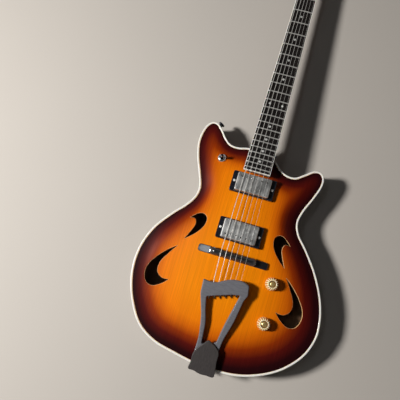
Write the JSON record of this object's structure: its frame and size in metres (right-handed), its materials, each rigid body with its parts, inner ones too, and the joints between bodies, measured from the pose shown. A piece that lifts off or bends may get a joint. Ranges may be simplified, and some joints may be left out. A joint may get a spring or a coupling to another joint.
{
  "type": "archtop guitar",
  "caption": "Hollow thinline archtop electric guitar with two cutaways, crescent sound holes, a floating bridge, a frame tailpiece, pickups in rings and geared tuners.",
  "frame": {"origin": "on the flat crown of the back, under the bridge", "axes": "+Z out of the top, +Y to the headstock, +X to the treble side"},
  "size_m": [0.3924, 1.0483, 0.0956],
  "materials": {
    "lacquer_sunburst": "high-gloss amber to dark red sunburst lacquer over wood",
    "lacquer_red_brown": "gloss dark red-brown lacquer over wood",
    "cream_binding": "polished cream",
    "bare_spruce": "raw",
    "dark_fingerboard": "oiled satin, with nickel frets",
    "bone": "polished",
    "black_veneer": "high gloss",
    "black_plastic": "gloss",
    "grey_ebony": "satin",
    "black_ebony": "polished",
    "nickel": "polished nickel",
    "brushed_nickel": "streaky brushed nickel",
    "string_steel": "plain and wound steel",
    "tool_steel": "satin",
    "amber_plastic": "gold backed clear gloss"
  },
  "bodies": {
    "guitar": {"top_plate": "lacquer_sunburst", "back_plate": "lacquer_red_brown", "rim": "lacquer_red_brown", "neck": "lacquer_red_brown", "top_binding": "cream_binding", "back_binding": "cream_binding", "fingerboard_binding": "cream_binding", "neck_block": "bare_spruce", "tail_block": "bare_spruce", "bass_tone_bar": "bare_spruce", "treble_tone_bar": "bare_spruce", "fingerboard": "dark_fingerboard", "nut": "bone", "headstock_veneer": "black_veneer", "truss_rod_cover": "black_plastic", "neck_pickup_ring": "black_plastic", "bridge_pickup_ring": "black_plastic", "horn_button": "black_plastic", "tailpiece": "grey_ebony", "tailpiece_cap": "grey_ebony", "bridge_base": "black_ebony", "treble_tuner_plate": "nickel", "bass_tuner_plate": "nickel", "switch_body": "nickel", "output_jack": "nickel", "end_button": "nickel", "string_1": "string_steel", "string_2": "string_steel", "string_3": "string_steel", "string_4": "string_steel", "string_5": "string_steel", "string_6": "string_steel", "volume_pot": "tool_steel", "tone_pot": "tool_steel"},
    "tuner_1_key": {"tuner_button_1": "nickel"},
    "tuner_1_post": {"tuner_post_1": "nickel"},
    "tuner_2_key": {"tuner_button_2": "nickel"},
    "tuner_2_post": {"tuner_post_2": "nickel"},
    "tuner_3_key": {"tuner_button_3": "nickel"},
    "tuner_3_post": {"tuner_post_3": "nickel"},
    "tuner_4_key": {"tuner_button_4": "nickel"},
    "tuner_4_post": {"tuner_post_4": "nickel"},
    "tuner_5_key": {"tuner_button_5": "nickel"},
    "tuner_5_post": {"tuner_post_5": "nickel"},
    "tuner_6_key": {"tuner_button_6": "nickel"},
    "tuner_6_post": {"tuner_post_6": "nickel"},
    "volume_control": {"volume_knob": "amber_plastic"},
    "tone_control": {"tone_knob": "amber_plastic"},
    "pickup_switch": {"switch_lever": "black_plastic"},
    "neck_pickup_unit": {"neck_pickup": "brushed_nickel"},
    "neck_bass_adjuster": {"neck_pickup_screw_bass": "nickel"},
    "neck_treble_adjuster": {"neck_pickup_screw_treble": "nickel"},
    "bridge_pickup_unit": {"bridge_pickup": "brushed_nickel"},
    "bridge_bass_adjuster": {"bridge_pickup_screw_bass": "nickel"},
    "bridge_treble_adjuster": {"bridge_pickup_screw_treble": "nickel"},
    "saddle": {"bridge_saddle": "black_ebony"},
    "bass_wheel": {"bass_thumbwheel": "nickel"},
    "treble_wheel": {"treble_thumbwheel": "nickel"},
    "truss_rod_bar": {"truss_rod": "tool_steel"}
  },
  "joints": [
    {"name": "tuner_1_key_turn", "type": "hinge", "parent": "guitar", "child": "tuner_1_key", "pos_m": [0.02322, 0.68286, 0.03088], "axis": [1, 0, 0], "continuous": true},
    {"name": "tuner_1_post_turn", "type": "hinge", "parent": "guitar", "child": "tuner_1_post", "pos_m": [0.02322, 0.67776, 0.05118], "axis": [0, 0.2284, 0.9736], "continuous": true},
    {"name": "tuner_2_key_turn", "type": "hinge", "parent": "guitar", "child": "tuner_2_key", "pos_m": [0.02322, 0.72375, 0.02128], "axis": [1, 0, 0], "continuous": true},
    {"name": "tuner_2_post_turn", "type": "hinge", "parent": "guitar", "child": "tuner_2_post", "pos_m": [0.02322, 0.71865, 0.04159], "axis": [0, 0.2284, 0.9736], "continuous": true},
    {"name": "tuner_3_key_turn", "type": "hinge", "parent": "guitar", "child": "tuner_3_key", "pos_m": [0.02322, 0.76464, 0.01169], "axis": [1, 0, 0], "continuous": true},
    {"name": "tuner_3_post_turn", "type": "hinge", "parent": "guitar", "child": "tuner_3_post", "pos_m": [0.02322, 0.75955, 0.032], "axis": [0, 0.2284, 0.9736], "continuous": true},
    {"name": "tuner_4_key_turn", "type": "hinge", "parent": "guitar", "child": "tuner_4_key", "pos_m": [-0.02322, 0.76464, 0.01169], "axis": [-1, 0, 0], "continuous": true},
    {"name": "tuner_4_post_turn", "type": "hinge", "parent": "guitar", "child": "tuner_4_post", "pos_m": [-0.02322, 0.75955, 0.032], "axis": [0, 0.2284, 0.9736], "continuous": true},
    {"name": "tuner_5_key_turn", "type": "hinge", "parent": "guitar", "child": "tuner_5_key", "pos_m": [-0.02322, 0.72375, 0.02128], "axis": [-1, 0, 0], "continuous": true},
    {"name": "tuner_5_post_turn", "type": "hinge", "parent": "guitar", "child": "tuner_5_post", "pos_m": [-0.02322, 0.71865, 0.04159], "axis": [0, 0.2284, 0.9736], "continuous": true},
    {"name": "tuner_6_key_turn", "type": "hinge", "parent": "guitar", "child": "tuner_6_key", "pos_m": [-0.02322, 0.68286, 0.03088], "axis": [-1, 0, 0], "continuous": true},
    {"name": "tuner_6_post_turn", "type": "hinge", "parent": "guitar", "child": "tuner_6_post", "pos_m": [-0.02322, 0.67776, 0.05118], "axis": [0, 0.2284, 0.9736], "continuous": true},
    {"name": "volume_turn", "type": "hinge", "parent": "guitar", "child": "volume_control", "pos_m": [0.08794, -0.03799, 0.06997], "axis": [0, 0, 1], "range_deg": [-150, 150]},
    {"name": "tone_turn", "type": "hinge", "parent": "guitar", "child": "tone_control", "pos_m": [0.09302, -0.11493, 0.06531], "axis": [0, 0, 1], "range_deg": [-150, 150]},
    {"name": "switch_throw", "type": "hinge", "parent": "guitar", "child": "pickup_switch", "pos_m": [-0.078, 0.18311, 0.05891], "axis": [1, 0, 0], "range_deg": [-13, 13]},
    {"name": "neck_pickup_height", "type": "slide", "parent": "guitar", "child": "neck_pickup_unit", "axis": [0, 0.0384, 0.9993], "range_m": [-0.004, 0.0009]},
    {"name": "neck_bass_adjuster_turn", "type": "hinge", "parent": "guitar", "child": "neck_bass_adjuster", "pos_m": [-0.0395, 0.14098, 0.07822], "axis": [0, 0.0384, 0.9993], "range_deg": [-2718, 612.3]},
    {"name": "neck_treble_adjuster_turn", "type": "hinge", "parent": "guitar", "child": "neck_treble_adjuster", "pos_m": [0.0395, 0.14098, 0.07822], "axis": [0, 0.0384, 0.9993], "range_deg": [-2718, 612.3]},
    {"name": "bridge_pickup_height", "type": "slide", "parent": "guitar", "child": "bridge_pickup_unit", "axis": [0, 0.0384, 0.9993], "range_m": [-0.004, 0.0009]},
    {"name": "bridge_bass_adjuster_turn", "type": "hinge", "parent": "guitar", "child": "bridge_bass_adjuster", "pos_m": [-0.0395, 0.04108, 0.08266], "axis": [0, 0.0384, 0.9993], "range_deg": [-2718, 612.3]},
    {"name": "bridge_treble_adjuster_turn", "type": "hinge", "parent": "guitar", "child": "bridge_treble_adjuster", "pos_m": [0.0395, 0.04108, 0.08266], "axis": [0, 0.0384, 0.9993], "range_deg": [-2718, 612.3]},
    {"name": "saddle_height", "type": "slide", "parent": "guitar", "child": "saddle", "axis": [0, 0, 1], "range_m": [-0.00082, 0.00252], "deforming": ["string_1", "string_2", "string_3", "string_4", "string_5", "string_6"]},
    {"name": "bass_wheel_turn", "type": "hinge", "parent": "saddle", "child": "bass_wheel", "pos_m": [-0.039, -0.009, 0.0836], "axis": [0, 0, 1], "range_deg": [-411.4, 1285.7]},
    {"name": "treble_wheel_turn", "type": "hinge", "parent": "saddle", "child": "treble_wheel", "pos_m": [0.039, -0.009, 0.0836], "axis": [0, 0, 1], "range_deg": [-412.4, 1286.7]},
    {"name": "truss_rod_turn", "type": "hinge", "parent": "guitar", "child": "truss_rod_bar", "pos_m": [0, 0.22161, 0.07038], "axis": [0, 0.9993, -0.0384], "range_deg": [-180, 180]}
  ],
  "couplings": [
    {"joint": "tuner_1_post_turn", "follows": "tuner_1_key_turn", "ratio": 0.066667},
    {"joint": "tuner_2_post_turn", "follows": "tuner_2_key_turn", "ratio": 0.066667},
    {"joint": "tuner_3_post_turn", "follows": "tuner_3_key_turn", "ratio": 0.066667},
    {"joint": "tuner_4_post_turn", "follows": "tuner_4_key_turn", "ratio": -0.066667},
    {"joint": "tuner_5_post_turn", "follows": "tuner_5_key_turn", "ratio": -0.066667},
    {"joint": "tuner_6_post_turn", "follows": "tuner_6_key_turn", "ratio": -0.066667},
    {"joint": "neck_bass_adjuster_turn", "follows": "neck_pickup_height", "rad_per_m": 11855},
    {"joint": "neck_treble_adjuster_turn", "follows": "neck_pickup_height", "rad_per_m": 11855},
    {"joint": "bridge_bass_adjuster_turn", "follows": "bridge_pickup_height", "rad_per_m": 11855},
    {"joint": "bridge_treble_adjuster_turn", "follows": "bridge_pickup_height", "rad_per_m": 11855},
    {"joint": "saddle_height", "follows": "bass_wheel_turn", "m_per_rad": 0.00011141},
    {"joint": "treble_wheel_turn", "follows": "bass_wheel_turn", "ratio": 1}
  ]
}
